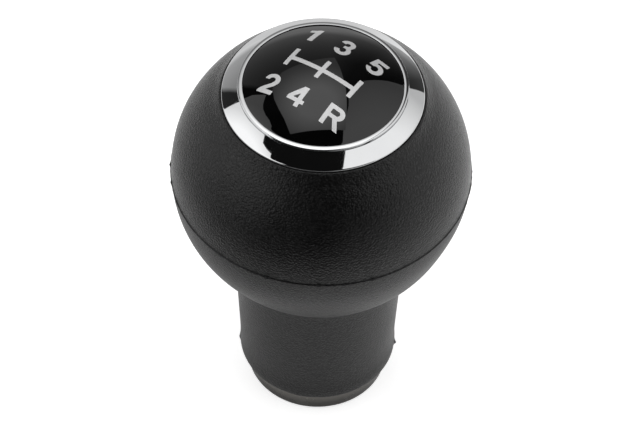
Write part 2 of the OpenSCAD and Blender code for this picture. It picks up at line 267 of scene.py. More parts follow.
def bush_material():
    """Grey-brown acetal."""
    t = Tree("bush_plastic")
    mottle = t.noise(scale=180, detail=3, roughness=0.6)
    fine = t.noise(scale=2800, detail=3, roughness=0.6)
    colour = t.tint(mottle, dark=(0.20, 0.19, 0.165), light=(0.26, 0.25, 0.225))
    rough = t.ramp(mottle, span=(0.3, 0.7), out=(0.45, 0.60))
    bump = t.bump(fine, depth=0.00003, strength=0.4)
    return t.finish(Base_Color=colour, Roughness=rough, Normal=bump, IOR=PLASTIC_IOR)


def steel_material():
    """Spring wire with the faint lines of drawing."""
    t = Tree("spring_steel")
    drawn = t.add("Mapping", {"Vector": t.place(), "Scale": DRAWN_SCALE}).outputs[0]
    lines = t.noise(scale=900, detail=3, roughness=0.6, vector=drawn)
    colour = t.tint(lines, dark=(0.42, 0.42, 0.43), light=(0.56, 0.56, 0.57))
    rough = t.ramp(lines, span=(0.3, 0.7), out=(0.22, 0.38))
    bump = t.bump(lines, depth=0.00001, strength=0.4)
    return t.finish(Base_Color=colour, Metallic=1.0, Roughness=rough, Normal=bump)


# Mesh helpers
# Distance in metres within which a point counts as lying on the axis
AXIS_NEAR = 1e-7
# Smallest size of a wave round the axis beside its largest, and a full turn for its start
WAVE_LEAST, WAVE_TURN = 0.5, 6.283


def close_axis(mesh):
    """Joins the points that a turned section has on the axis, and turns all faces outwards."""
    bm = bmesh.new()
    bm.from_mesh(mesh)
    axis = [v for v in bm.verts if v.co.xy.length < AXIS_NEAR]
    bmesh.ops.remove_doubles(bm, verts=axis, dist=AXIS_NEAR)
    bmesh.ops.recalc_face_normals(bm, faces=bm.faces)
    bm.to_mesh(mesh)
    bm.free()


def new_object(name, verts, faces, mat, smooth_angle=None, turned=False):
    """A mesh object with one material; turned is for a section that was turned round the axis."""
    mesh = bpy.data.meshes.new(name)
    mesh.from_pydata([tuple(v) for v in verts], [], faces)
    if turned:
        close_axis(mesh)
    mesh.validate()
    mesh.materials.append(mat)
    if smooth_angle is not None:
        mesh.shade_smooth()
        mesh.set_sharp_from_angle(angle=math.radians(smooth_angle))
    obj = bpy.data.objects.new(name, mesh)
    scene.collection.objects.link(obj)
    return obj


def arc(cx, cy, rx, ry, a0, a1, steps):
    """Points on an ellipse's arc from angle a0 to angle a1, in degrees."""
    angles = [math.radians(a0 + (a1 - a0) * i / steps) for i in range(steps + 1)]
    return [(cx + rx * math.cos(a), cy + ry * math.sin(a)) for a in angles]


def round_arc(mid, radius, a0, a1, steps):
    """Points on a circle's arc, in degrees."""
    return arc(mid[0], mid[1], radius, radius, a0, a1, steps)


def on_arc(mid, radius, angle):
    """The point of a circle at an angle in radians."""
    return (mid[0] + radius * math.cos(angle), mid[1] + radius * math.sin(angle))


def line(p, q, steps):
    """Points from p to q, without q."""
    return [(p[0] + (q[0] - p[0]) * i / steps, p[1] + (q[1] - p[1]) * i / steps) for i in range(steps)]


def sweep_faces(n, start, end):
    """Four-sided faces between two copies of a closed section of n points."""
    return [(start + k, end + k, end + (k + 1) % n, start + (k + 1) % n) for k in range(n)]


def lathe(name, profile, segments, mat, smooth_angle, swell=None, shells=()):
    """A closed section in millimetres turned round the axis; swell moves its points, shells join it."""
    profile = np.array(profile)
    turn = np.linspace(0, 2 * math.pi, segments, endpoint=False)
    r = np.repeat(profile[None, :, 0], segments, 0)
    z = np.repeat(profile[None, :, 1], segments, 0)
    a = np.repeat(turn[:, None], len(profile), 1)
    if swell:
        dr, dz = swell(r, z, a)
        r, z = r + dr, z + dz
    verts = list(np.stack([r * np.cos(a), r * np.sin(a), z], -1).reshape(-1, 3) * MM)
    n = len(profile)
    faces = []
    for i in range(segments):
        faces += sweep_faces(n, i * n, (i + 1) % segments * n)
    for points, polygons in shells:
        base = len(verts)
        verts += [tuple(c * MM for c in p) for p in points]
        faces += [tuple(base + k for k in polygon) for polygon in polygons]
    return new_object(name, verts, faces, mat, smooth_angle, turned=True)


def sector(section, start, end, steps):
    """A closed section in millimetres turned through part of a circle, as points and polygons."""
    n = len(section)
    points, polygons = [], []
    for i in range(steps + 1):
        a = math.radians(start + (end - start) * i / steps)
        points += [(r * math.cos(a), r * math.sin(a), z) for r, z in section]
    for i in range(steps):
        polygons += sweep_faces(n, i * n, (i + 1) * n)
    polygons.append(tuple(range(n)))
    polygons.append(tuple(steps * n + k for k in reversed(range(n))))
    return points, polygons


def ring_noise(angle, waves, amount, rng):
    """A smooth random wave round the axis, made of whole numbers of waves."""
    out = np.zeros_like(angle)
    for wave in waves:
        size = math.sqrt(1.0 / len(waves)) * rng.uniform(WAVE_LEAST, 1.0)
        out += size * np.sin(wave * angle + rng.uniform(0, WAVE_TURN))
    return out * amount


def bell(distance, width):
    """One at distance zero, falling smoothly to nothing on both sides."""
    return np.exp(-(distance / width) ** 2)


def turn_gap(a, degrees):
    """Signed angle from a to a direction, in degrees."""
    return np.degrees(np.angle(np.exp(1j * (a - math.radians(degrees)))))


def nub_heights(a, nubs, radius):
    """Height round the axis of small nubs, each given by its direction, height and width."""
    total = 0
    for at, tall, wide in nubs:
        gap = turn_gap(a, at) * math.radians(1) * radius
        total = total + tall * bell(gap, wide / 2)
    return total


# Grip: its measures in millimetres
BALL_MID, BALL_ARC = (2.0, 53.0), 24.0
UNDER_MID, UNDER_ARC = (1.2, 52.5), 24.8
FOOT_R, FOOT_Z, TAPER_Z = 13.9, 5.0, 8.0
TAPER = math.radians(3.0)
FILLET_R, FOOT_EDGE_R = 6.0, 0.35
MOUTH_R, MOUTH_EDGE_R = 17.35, 0.3
STEM_R, KEY_R = 10.85, 11.65
KEY_Z, KEY_H = (12.0, 19.0, 26.0), 1.4
FIN_ARC = 18.05
HEAD_Z = 63.54
KEY_GAP = 0.05
# Steps of the section's arcs and lines, and the half height of its close rows at the parting line
BALL_STEPS, SEAM_STEPS, FILLET_STEPS, NECK_STEPS = 22, 14, 8, 8
EDGE_STEPS, FOOT_STEPS, FIN_STEPS = 6, 3, 12
SEAM_ROWS = 0.5
GRIP_SEGMENTS, GRIP_SMOOTH = 720, 35

# Grip's unevenness: the random seed, and the radii beyond which points are outer skin and seam
SEED = 7
SKIN_R, SEAM_R = 12.5, 25
# Parting line: the flash's height and width, its raggedness and its wander, with their waves
FLASH_H, FLASH_W = 0.13, 0.09
RAGGED, RAGGED_WAVES = 0.03, (31, 47, 71, 103, 139)
WANDER, WANDER_WAVES = 0.04, (5, 9, 17, 29)
# Nubs that the photograph shows: direction in degrees, height and width; and the ranges of smaller ones
SEAM_NUBS = [(-76.2, 0.24, 0.9), (-56.3, 0.22, 0.7), (-35.9, 0.16, 0.8), (-146.5, 0.2, 0.7)]
SMALL_NUBS, SMALL_NUB_H, SMALL_NUB_W = 34, (0.03, 0.09), (0.3, 0.8)
# Radius on which the nubs' widths are measured
NUB_R = 26.0
# Groove above the flash: depth, height over it and width; and the low shoulder that carries both
LINE_D, LINE_UP, LINE_W = 0.04, 0.24, 0.10
SHOULDER_H, SHOULDER_W = 0.07, 1.9
# Fuller front: amount, height, width and arc in degrees
FULL, FULL_Z, FULL_W, FULL_ARC = 0.30, 36.6, 5.5, 30.0
# Slimmer waist: amount all round, extra at the picture's right, height and width
SLIM, SLIM_RIGHT, SLIM_Z, SLIM_W = 0.18, 0.13, 40.0, 7.0
# Right outline: a fuller part under a slimmer one; and the slimmer left shoulder
LOW_RIGHT, LOW_RIGHT_Z, LOW_RIGHT_W = 0.22, 38.6, 3.0
HIGH_RIGHT, HIGH_RIGHT_Z, HIGH_RIGHT_W = 0.17, 45.0, 3.5
LEFT, LEFT_Z, LEFT_W = 0.22, 67.0, 5.0
# Lumps of the skin: amount, waves and the radius over which they come in
LUMP, LUMP_WAVES, LUMP_FADE = 0.01, (3, 5, 8, 13), 2
# Distance from the ring over which the outline's differences come in
RING_FADE = 2.5
# The outline's differences are above the first height, the lumps below the second, the rim above the third
SHAPE_Z, LUMP_TOP_Z, RIM_Z = 28, 71, 68
# Nubs and flare at the foot
FOOT_NUBS = ((-144.5, 0.22, 1.2), (29.5, 0.40, 0.7), (-70, 0.10, 1.0))
FOOT_NUB_UP, FOOT_NUB_W = 0.35, 0.5
FLARE, FLARE_RIGHT, FLARE_Z, FLARE_W = 0.14, 0.05, 6.3, 2.2
# Height and width of the foam's raised rim round the ring
RIM_H, RIM_W = 0.85, 1.9


def grip_outline():
    """Outer section from the mouth at the top, down over the seam to the foot."""
    along = np.array([math.sin(TAPER), math.cos(TAPER)])
    outward = np.array([math.cos(TAPER), -math.sin(TAPER)])
    mid = np.array(UNDER_MID)
    start = np.array([FOOT_R, TAPER_Z]) + FILLET_R * outward - mid
    dot = start @ along
    reach = UNDER_ARC + FILLET_R
    root = math.sqrt(dot * dot - start @ start + reach * reach)
    fillet_mid = mid + start - (dot + root) * along
    on_neck = fillet_mid - FILLET_R * outward
    to_ball = fillet_mid - mid
    fillet_end = math.atan2(to_ball[1], to_ball[0])

    inner = BALL_ARC - MOUTH_EDGE_R
    edge_r = MOUTH_R + MOUTH_EDGE_R
    edge_z = BALL_MID[1] + math.sqrt(inner ** 2 - (edge_r - BALL_MID[0]) ** 2)
    top = math.atan2(edge_z - BALL_MID[1], edge_r - BALL_MID[0])
    points = round_arc((edge_r, edge_z), MOUTH_EDGE_R, 180, math.degrees(top), EDGE_STEPS)[:-1]
    seam = math.asin((SEAM_Z - BALL_MID[1]) / BALL_ARC)
    near = SEAM_ROWS / BALL_ARC
    parts = (
        (BALL_MID, BALL_ARC, top, seam + near, BALL_STEPS),
        (BALL_MID, BALL_ARC, seam + near, seam, SEAM_STEPS),
        (UNDER_MID, UNDER_ARC, 0, -near, SEAM_STEPS),
        (UNDER_MID, UNDER_ARC, -near, fillet_end, BALL_STEPS),
    )
    for part_mid, radius, a0, a1, steps in parts:
        points += [on_arc(part_mid, radius, a) for a in np.linspace(a0, a1, steps, endpoint=False)]
    a0 = math.degrees(math.atan2(-to_ball[1], -to_ball[0]))
    a1 = math.degrees(math.atan2(-outward[1], -outward[0]))
    if a1 < a0:
        a1 += 360
    points += round_arc(fillet_mid, FILLET_R, a0, a1, FILLET_STEPS)
    points += line(tuple(on_neck), (FOOT_R, TAPER_Z), NECK_STEPS)[1:]
    points += line((FOOT_R, TAPER_Z), (FOOT_R, FOOT_Z + FOOT_EDGE_R), FOOT_STEPS)
    points += round_arc((FOOT_R - FOOT_EDGE_R, FOOT_Z + FOOT_EDGE_R), FOOT_EDGE_R, 0, -90, EDGE_STEPS)
    return points


def grip_inside():
    """Inner section from the foot up round the stem and the fins to the mouth."""
    x0 = STEM_R - BALL_MID[0]
    low = BALL_MID[1] - math.sqrt(FIN_ARC ** 2 - x0 ** 2)
    a0 = math.degrees(math.atan2(low - BALL_MID[1], x0))
    a1 = math.degrees(math.asin((HEAD_Z - BALL_MID[1]) / FIN_ARC))
    points = [(STEM_R, FOOT_Z)]
    for z in KEY_Z:
        low_z, high_z = z - KEY_GAP, z + KEY_H + KEY_GAP
        points += [(STEM_R, low_z), (KEY_R, low_z), (KEY_R, high_z), (STEM_R, high_z)]
    points += round_arc(BALL_MID, FIN_ARC, a0, a1, FIN_STEPS)
    points += [(MOUTH_R, HEAD_Z)]
    return points


def seam_swell(r, z, a, rng):
    """The parting line's thin ragged flash with its nubs, the groove above it and their low shoulder."""
    height = FLASH_H + ring_noise(a, RAGGED_WAVES, RAGGED, rng)
    wander = ring_noise(a, WANDER_WAVES, WANDER, rng)
    nubs = SEAM_NUBS + [(rng.uniform(-180, 180), rng.uniform(*SMALL_NUB_H), rng.uniform(*SMALL_NUB_W))
                        for _ in range(SMALL_NUBS)]
    height = height + nub_heights(a, nubs, NUB_R)
    dz = z - SEAM_Z - wander
    ridge = height * bell(dz, FLASH_W)
    groove = -LINE_D * bell(dz - LINE_UP, LINE_W)
    shoulder = SHOULDER_H * bell(z - SEAM_Z, SHOULDER_W)
    return np.where(r > SEAM_R, ridge + groove + shoulder, 0)


def skin_swell(r, z, a, rng):
    """The outline's slight differences from a turned shape, and the skin's low lumps."""
    side = np.cos(a - math.radians(PICTURE_RIGHT))
    right, left = np.clip(side, 0, 1), np.clip(-side, 0, 1)
    full = FULL * bell(z - FULL_Z, FULL_W) * bell(turn_gap(a, FRONT), FULL_ARC)
    slim = -(SLIM + SLIM_RIGHT * side) * bell(z - SLIM_Z, SLIM_W)
    low_right = LOW_RIGHT * bell(z - LOW_RIGHT_Z, LOW_RIGHT_W)
    high_right = HIGH_RIGHT * bell(z - HIGH_RIGHT_Z, HIGH_RIGHT_W)
    slim = slim + right * (low_right - high_right)
    slim = slim - LEFT * left * bell(z - LEFT_Z, LEFT_W)
    lumps = ring_noise(a, LUMP_WAVES, LUMP, rng) * np.clip((r - SKIN_R) / LUMP_FADE, 0, 1)
    away = np.clip((r - MOUTH_R) / RING_FADE, 0, 1)
    return np.where(z > SHAPE_Z, (slim + full) * away, 0) + np.where(z < LUMP_TOP_Z, lumps, 0)


def foot_swell(z, a):
    """Nubs at the foot's edge, and the foot's slight flare."""
    side = np.cos(a - math.radians(PICTURE_RIGHT))
    nubs = nub_heights(a, FOOT_NUBS, FOOT_R) * bell(z - FOOT_Z - FOOT_NUB_UP, FOOT_NUB_W)
    return nubs + (FLARE + FLARE_RIGHT * side) * bell(z - FLARE_Z, FLARE_W)


def grip_swell(r, z, a):
    """How far the skin's points move out and up: seam, slight unevenness, foot, and rim at the ring."""
    rng = random.Random(SEED)
    outer = r > SKIN_R
    out = seam_swell(r, z, a, rng) + skin_swell(r, z, a, rng) + foot_swell(z, a)
    rim = RIM_H * np.clip(1 - (r - MOUTH_R) / RIM_W, 0, 1) ** 2
    return np.where(outer, out, 0), np.where(outer & (z > RIM_Z), rim, 0)


def make_grip(mat):
    profile = grip_outline() + grip_inside()
    grip = lathe("grip_skin", profile, GRIP_SEGMENTS, mat, GRIP_SMOOTH, grip_swell)
    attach(grip, "root")
    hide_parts("grip_cover")


# Trim ring: its measures in millimetres
RING_R, LIP_R = 17.3, 0.30
BAND_MID, BAND_ARC = (3.234, 51.523), 25.0
# Inner end of the band, and the groove beside it
BAND_END_R, GROOVE_R, GROOVE_D = 14.59, 14.53, 0.15
# Crowned bead: its crest, its crown's radius, its inner wall, and the bevels on its two sides
BEAD_CREST = (13.92, 74.40)
BEAD_ARC = 1.7
BEAD_INNER_R = 13.75
OUTER_BEVEL, INNER_BEVEL = 0.02, 0.03
FLANGE_R, FLANGE_Z = 12.5, 71.491
RING_FOOT_Z = 70.391
SKIRT_OUT_R, SKIRT_Z = 15.2, 67.191
HOLLOW_R, HOLLOW_Z = 16.3, 71.791
SNAP_Z, SNAP_R = 67.791, 0.3
# Keyways: their width, the film that stays at their ends, and the slack in finding their points
NOTCH_W, NOTCH_FILM, NOTCH_SLACK = 3.2, 0.02, 0.1
ROUND_STEPS, BAND_STEPS = 8, 10
RING_SEGMENTS, RING_SMOOTH = 720, 30


def ring_section():
    """The ring's closed section, from its outer wall over the lip, band, groove and bead to the skirt."""
    lip_r = RING_R - LIP_R
    lip_z = BAND_MID[1] + math.sqrt((BAND_ARC - LIP_R) ** 2 - (lip_r - BAND_MID[0]) ** 2)
    turn = math.degrees(math.atan2(lip_z - BAND_MID[1], lip_r - BAND_MID[0]))
    end = math.degrees(math.acos((BAND_END_R - BAND_MID[0]) / BAND_ARC))
    end_z = on_arc(BAND_MID, BAND_ARC, math.radians(end))[1]
    points = [(RING_R, RING_FOOT_Z)]
    points += round_arc((lip_r, lip_z), LIP_R, 0, turn, ROUND_STEPS)[:-1]
    points += round_arc(BAND_MID, BAND_ARC, turn, end, BAND_STEPS)
    points += [(BAND_END_R, end_z - GROOVE_D), (GROOVE_R, end_z - GROOVE_D)]
    crown = (BEAD_CREST[0], BEAD_CREST[1] - BEAD_ARC)
    low = math.degrees(math.acos((GROOVE_R - OUTER_BEVEL - crown[0]) / BEAD_ARC))
    high = math.degrees(math.acos((BEAD_INNER_R + INNER_BEVEL - crown[0]) / BEAD_ARC))
    points += [(GROOVE_R, on_arc(crown, BEAD_ARC, math.radians(low))[1] - OUTER_BEVEL)]
    points += round_arc(crown, BEAD_ARC, low, high, ROUND_STEPS)
    points += [(BEAD_INNER_R, points[-1][1] - INNER_BEVEL), (BEAD_INNER_R, FLANGE_Z)]
    points += [(FLANGE_R, FLANGE_Z), (FLANGE_R, RING_FOOT_Z), (BEAD_INNER_R, RING_FOOT_Z)]
    points += [(BEAD_INNER_R, SKIRT_Z), (SKIRT_OUT_R, SKIRT_Z)]
    points += round_arc((SKIRT_OUT_R, SNAP_Z), SNAP_R, -90, 90, ROUND_STEPS)
    points += [(SKIRT_OUT_R, HOLLOW_Z), (HOLLOW_R, HOLLOW_Z), (HOLLOW_R, RING_FOOT_Z)]
    return points


def ring_notches(r, z, a):
    """The keyway through the skirt on the row's +X side and the one through the flange on its -X side."""
    across, along = r * np.sin(a), r * np.cos(a)
    skirt = (np.abs(across) < NOTCH_W / 2) & (along > 0) & (z < RING_FOOT_Z - NOTCH_SLACK)
    flange = (np.abs(across) < NOTCH_W / 2) & (along < 0) & (r < FLANGE_R + NOTCH_SLACK)
    dz = np.where(skirt, RING_FOOT_Z - NOTCH_FILM - z, 0)
    dr = np.where(flange, BEAD_INNER_R - NOTCH_FILM - r, 0)
    return dr, dz


def make_ring(mat):
    ring = lathe("ring_plated", ring_section(), RING_SEGMENTS, mat, RING_SMOOTH, ring_notches)
    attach(ring, "root")
    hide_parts("trim_ring")


# Pattern cap: its measures in millimetres
DOME_R, DOME_TOP = 28.0, 77.86
DOME_MID_Z = DOME_TOP - DOME_R
CAP_R, CAP_EDGE_R = 13.70, 0.10
CAP_INNER_R, CAP_WALL = 11.9, 1.6
LEG_OUT_R, LEG_IN_R = 12.3, 11.0
LEG_Z, LEG_TOP_Z = 68.891, 73.8
HOOK_OUT, HOOK_Z, HOOK_LAND = 0.7, 70.291, 0.5
LEG_ANGLE, LEG_PLACES = 24, (45, 135, 225, 315)
# The key that sets the cap's direction: width, inset from the cap's edge, rise into the cap, place
CAP_KEY_W, CAP_KEY_INSET, CAP_KEY_RISE, CAP_KEY_PLACE = 3.0, 0.2, 1, 180
DOME_STEPS, CAP_EDGE_STEPS, HOLLOW_STEPS, LEG_STEPS, CAP_KEY_STEPS = 40, 5, 16, 8, 6
CAP_SEGMENTS, CAP_SMOOTH = 360, 30


def cap_section():
    """The cap's closed section: dome, rounded edge, rim that stands on the flange, and hollow inside."""
    edge_r = CAP_R - CAP_EDGE_R
    edge_z = DOME_MID_Z + math.sqrt((DOME_R - CAP_EDGE_R) ** 2 - edge_r ** 2)
    turn = math.degrees(math.atan2(edge_z - DOME_MID_Z, edge_r))
    inner = DOME_R - CAP_WALL
    inner_turn = math.degrees(math.acos(CAP_INNER_R / inner))
    points = round_arc((0, DOME_MID_Z), DOME_R, 90, turn, DOME_STEPS)
    points += round_arc((edge_r, edge_z), CAP_EDGE_R, turn, 0, CAP_EDGE_STEPS)[1:]
    points += [(CAP_R, FLANGE_Z), (CAP_INNER_R, FLANGE_Z)]
    points += round_arc((0, DOME_MID_Z), inner, inner_turn, 90, HOLLOW_STEPS)
    points[0] = (0.0, DOME_TOP)
    points[-1] = (0.0, DOME_TOP - CAP_WALL)
    return points


def make_cap(mat):
    hook_r = LEG_OUT_R + HOOK_OUT
    leg = [(LEG_IN_R, LEG_Z), (LEG_OUT_R, LEG_Z), (hook_r, HOOK_Z - HOOK_LAND), (hook_r, HOOK_Z)]
    leg += [(LEG_OUT_R, HOOK_Z), (LEG_OUT_R, LEG_TOP_Z), (LEG_IN_R, LEG_TOP_Z)]
    shells = [sector(leg, at - LEG_ANGLE / 2, at + LEG_ANGLE / 2, LEG_STEPS) for at in LEG_PLACES]
    half = math.degrees(math.asin(CAP_KEY_W / 2 / CAP_INNER_R))
    key_r, key_top = CAP_R - CAP_KEY_INSET, FLANGE_Z + CAP_KEY_RISE
    key = [(CAP_INNER_R, RING_FOOT_Z), (key_r, RING_FOOT_Z), (key_r, key_top), (CAP_INNER_R, key_top)]
    shells.append(sector(key, CAP_KEY_PLACE - half, CAP_KEY_PLACE + half, CAP_KEY_STEPS))
    cap = lathe("cap_gloss", cap_section(), CAP_SEGMENTS, mat, CAP_SMOOTH, shells=shells)
    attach(cap, "root")
    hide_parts("pattern_cap")


# Printed pattern: its measures in millimetres
GATE_X = (-6.66, -0.35, 6.24)
GATE_W, GATE_TOP, GATE_LOW = 0.80, 2.40, -1.90
BAR_TOP, BAR_LOW = 0.45, -0.39
# Ink: the grid it is cut on, its height over the dome, its depth in it, and its smoothing angle
INK_STEP, INK_PROUD, INK_SUNK, INK_SMOOTH = 0.09, 0.035, 0.02, 40
# Steps of the grid that are left free round an outline
INK_MARGIN = 2
# How near an edge of the outline may come to a point of the grid, as a share of the step
INK_NEAR = 0.02
# Where a distance starts before it is measured, and the squared length of an edge that is left out
FAR_OFF, NO_LENGTH = 1e9, 1e-12


def glyphs():
    """Outlines of the numerals and the gate, on the cap's plan in millimetres: {name: [loops]}."""
    one = [(-7.08, 5.25), (-6.12, 5.25), (-6.12, 9.27), (-6.70, 9.20), (-7.20, 8.72), (-7.65, 8.46),
           (-8.10, 8.28), (-8.02, 7.60), (-7.50, 7.74), (-7.08, 7.98)]
    three = arc(-0.53, 8.20, 1.36, 1.15, 176, -26, 26) + arc(-0.47, 6.30, 1.50, 1.30, 48, -174, 34)
    three += arc(-0.45, 6.38, 0.58, 0.60, -175, 90, 20) + [(-0.80, 6.98), (-0.80, 7.61)]
    three += arc(-0.50, 8.08, 0.46, 0.47, -90, 180, 18)
    five = [(5.05, 9.06), (7.50, 9.02), (7.42, 8.22), (5.78, 8.25), (5.66, 7.70)]
    five += arc(6.06, 6.44, 1.50, 1.42, 104, -170, 34) + arc(6.02, 6.46, 0.63, 0.68, -172, 140, 22)
    five += [(5.38, 6.95), (4.68, 6.95)]
    two = arc(-6.55, -5.62, 1.42, 1.26, 180, -22, 26)
    two += [(-5.55, -6.62), (-6.00, -7.02), (-6.42, -7.36), (-6.62, -7.60), (-5.15, -7.60), (-5.15, -8.38)]
    two += [(-8.02, -8.40), (-7.95, -7.95), (-7.72, -7.55), (-7.30, -7.12), (-6.80, -6.70), (-6.35, -6.30)]
    two += arc(-6.58, -5.62, 0.57, 0.52, -38, 180, 16)
    four = [(-0.62, -4.40), (0.29, -4.38), (0.29, -6.93), (0.87, -6.93), (0.87, -7.61), (0.29, -7.61),
            (0.29, -8.40), (-0.53, -8.40), (-0.53, -7.61), (-2.38, -7.62), (-2.38, -6.95)]
    four_hole = [(-0.53, -5.86), (-0.53, -6.92), (-1.46, -6.92)]
    reverse = [(4.75, -4.42)] + arc(6.88, -5.58, 1.17, 1.16, 90, -68, 20)
    reverse += [(8.42, -8.42), (7.50, -8.42), (6.42, -6.75), (5.58, -6.75), (5.58, -8.42), (4.75, -8.42)]
    reverse_hole = [(5.58, -5.16)] + arc(6.72, -5.61, 0.46, 0.45, 90, -90, 14) + [(5.58, -6.06)]
    half = GATE_W / 2
    gate = [(GATE_X[0] - half, GATE_LOW), (GATE_X[0] + half, GATE_LOW), (GATE_X[0] + half, BAR_LOW)]
    gate += [(GATE_X[1] - half, BAR_LOW), (GATE_X[1] - half, GATE_LOW), (GATE_X[1] + half, GATE_LOW)]
    gate += [(GATE_X[1] + half, BAR_LOW), (GATE_X[2] - half, BAR_LOW), (GATE_X[2] - half, GATE_LOW)]
    gate += [(GATE_X[2] + half, GATE_LOW), (GATE_X[2] + half, GATE_TOP), (GATE_X[2] - half, GATE_TOP)]
    gate += [(GATE_X[2] - half, BAR_TOP), (GATE_X[1] + half, BAR_TOP), (GATE_X[1] + half, GATE_TOP)]
    gate += [(GATE_X[1] - half, GATE_TOP), (GATE_X[1] - half, BAR_TOP), (GATE_X[0] + half, BAR_TOP)]
    gate += [(GATE_X[0] + half, GATE_TOP), (GATE_X[0] - half, GATE_TOP)]
    return {
        "numeral_1": [one], "numeral_3": [three], "numeral_5": [five], "numeral_2": [two],
        "numeral_4": [four, four_hole], "letter_R": [reverse, reverse_hole], "gate_sign": [gate],
    }


def signed_distance(px, py, loops):
    """Distance of grid points to the outlines, negative inside."""
    best = np.full(px.shape, FAR_OFF)
    inside = np.zeros(px.shape, bool)
    for loop in loops:
        for (x0, y0), (x1, y1) in zip(loop, loop[1:] + loop[:1]):
            ex, ey = x1 - x0, y1 - y0
            size = ex * ex + ey * ey
            if size < NO_LENGTH:
                continue
            t = np.clip(((px - x0) * ex + (py - y0) * ey) / size, 0, 1)
            best = np.minimum(best, np.hypot(px - x0 - t * ex, py - y0 - t * ey))
            crosses = (y0 > py) != (y1 > py)
            if y1 != y0:
                inside ^= crosses & (px < x0 + (py - y0) / (y1 - y0) * ex)
    return np.where(inside, -best, best)


def ink_outlines(loops):
    """The flat points of a print and its polygons, cut from a square grid along the outlines."""
    flat = np.array([p for loop in loops for p in loop])
    lo, hi = flat.min(0) - INK_MARGIN * INK_STEP, flat.max(0) + INK_MARGIN * INK_STEP
    nx, ny = (np.ceil((hi - lo) / INK_STEP)).astype(int)
    xs, ys = lo[0] + INK_STEP * np.arange(nx + 1), lo[1] + INK_STEP * np.arange(ny + 1)
    field = signed_distance(*np.meshgrid(xs, ys, indexing="ij"), loops)
    points, index, polys = [], {}, []

    def point(key, xy):
        if key not in index:
            index[key] = len(points)
            points.append(xy)
        return index[key]

    for i in range(nx):
        for j in range(ny):
            corners = [(i, j), (i + 1, j), (i + 1, j + 1), (i, j + 1)]
            poly = []
            for a, b in zip(corners, corners[1:] + corners[:1]):
                va, vb = field[a], field[b]
                if va < 0:
                    poly.append(point(a, (xs[a[0]], ys[a[1]])))
                if (va < 0) != (vb < 0):
                    t = min(max(va / (va - vb), INK_NEAR), 1 - INK_NEAR)
                    edge = (a, b) if a < b else (b, a)
                    xy = (xs[a[0]] + t * (xs[b[0]] - xs[a[0]]), ys[a[1]] + t * (ys[b[1]] - ys[a[1]]))
                    poly.append(point(edge, xy))
            if len(poly) >= 3:
                polys.append(poly)
    return points, polys


def on_dome(xy, lift):
    """The point of the dome over a point of the cap's plan, lifted by some millimetres."""
    ball = DOME_R + lift
    return (xy[0] * MM, xy[1] * MM, (DOME_MID_Z + math.sqrt(ball ** 2 - xy[0] ** 2 - xy[1] ** 2)) * MM)


def printed_pad(name, loops, mat):
    """A thin closed layer of ink that follows the dome inside the given outlines."""
    points, polys = ink_outlines(loops)
    count = len(points)
    verts = [on_dome(p, INK_PROUD) for p in points] + [on_dome(p, -INK_SUNK) for p in points]
    faces = list(polys) + [[count + k for k in reversed(poly)] for poly in polys]
    used = {}
    for poly in polys:
        for edge in zip(poly, poly[1:] + poly[:1]):
            used[edge] = True
    for a, b in used:
        if (b, a) not in used:
            faces.append([b, a, count + a, count + b])
    obj = new_object(name, verts, faces, mat, INK_SMOOTH)
    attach(obj, "root")


# Studio: lamps and canopy stand round this point, at distances in metres
LAMP_MID = Vector((0, 0, 74 * MM))
TOP_DISTANCE, SIDE_DISTANCE = 1.8, 1.9
# Corners and middles of the lamps as azimuth and elevation round the knob, in degrees
TOP_MIDDLE, RIGHT_MIDDLE, LEFT_MIDDLE = (350, 62), (80, 42), (264, 34)
TOP_CORNERS = [
    (6, 34), (358, 36.5), (346, 38.5), (331, 39.5), (317, 44.7), (305.7, 52.3), (296, 58.3), (280, 64.4),
    (250, 67), (231, 79), (108, 73.6), (47.5, 69.3), (27.6, 59.8), (17.3, 51), (11, 42.3),
]
RIGHT_CORNERS = [
    (49, -3), (46, 12), (43.2, 23.4), (39.7, 30.5), (35.8, 38.7), (31.6, 46.5), (32, 54.6), (36, 62.8),
    (49.5, 68.4), (90, 75.4), (110, 74.8), (131, 70.9), (148, 62.9), (153, 58), (154, 50), (132, 38),
    (128, 20), (128, 0),
]
LEFT_CORNERS = [
    (296, 0), (300, 24), (306.5, 35.8), (308.3, 45), (299.3, 46.6), (294, 48), (287.3, 51), (280, 54.5),
    (272, 56), (264, 53.8), (256, 54.5), (248, 55.5), (243, 52), (232, 46), (217, 42), (217, 28), (217, 0),
]
# Where each lamp is brightest
TOP_BRIGHT, RIGHT_BRIGHT, LEFT_BRIGHT = (345, 74), (115, 45), (260, 20)
TOP_FALL, TOP_GAIN, TOP_BASE = 2.0, 1.35, 0.48
# Canopy: rings and points of its dome, radius, lowest elevation and its rise in degrees
CANOPY_RINGS, CANOPY_AROUND, CANOPY_R = 24, 72, 2.4
CANOPY_LOW, CANOPY_HEIGHT = -2, 92
# Canopy's steps across the picture: places from -1 at its left to 1 at its right, and the levels there
CANOPY_SIDES = (((0.05, 0.36), (1.0, 0.5)), ((0.42, 0.62), (1.0, 0.25)), ((-0.75, -0.71), (0.06, 1.0)))
CANOPY_LEAST = 0.006
# Floor: half its side in metres, millimetres that it lies under the knob, and its light for the camera
FLOOR_HALF, FLOOR_DROP, FLOOR_GLOW = 2.3, 0.02, 0.62
WORLD_LEVEL = 0.25


def direction(az, el):
    """Unit vector by azimuth in the picture (0 away from the camera, 90 to the right) and elevation."""
    a, e = math.radians(az), math.radians(el)
    return (AWAY * math.cos(a) + RIGHT * math.sin(a)) * math.cos(e) + UP * math.sin(e)


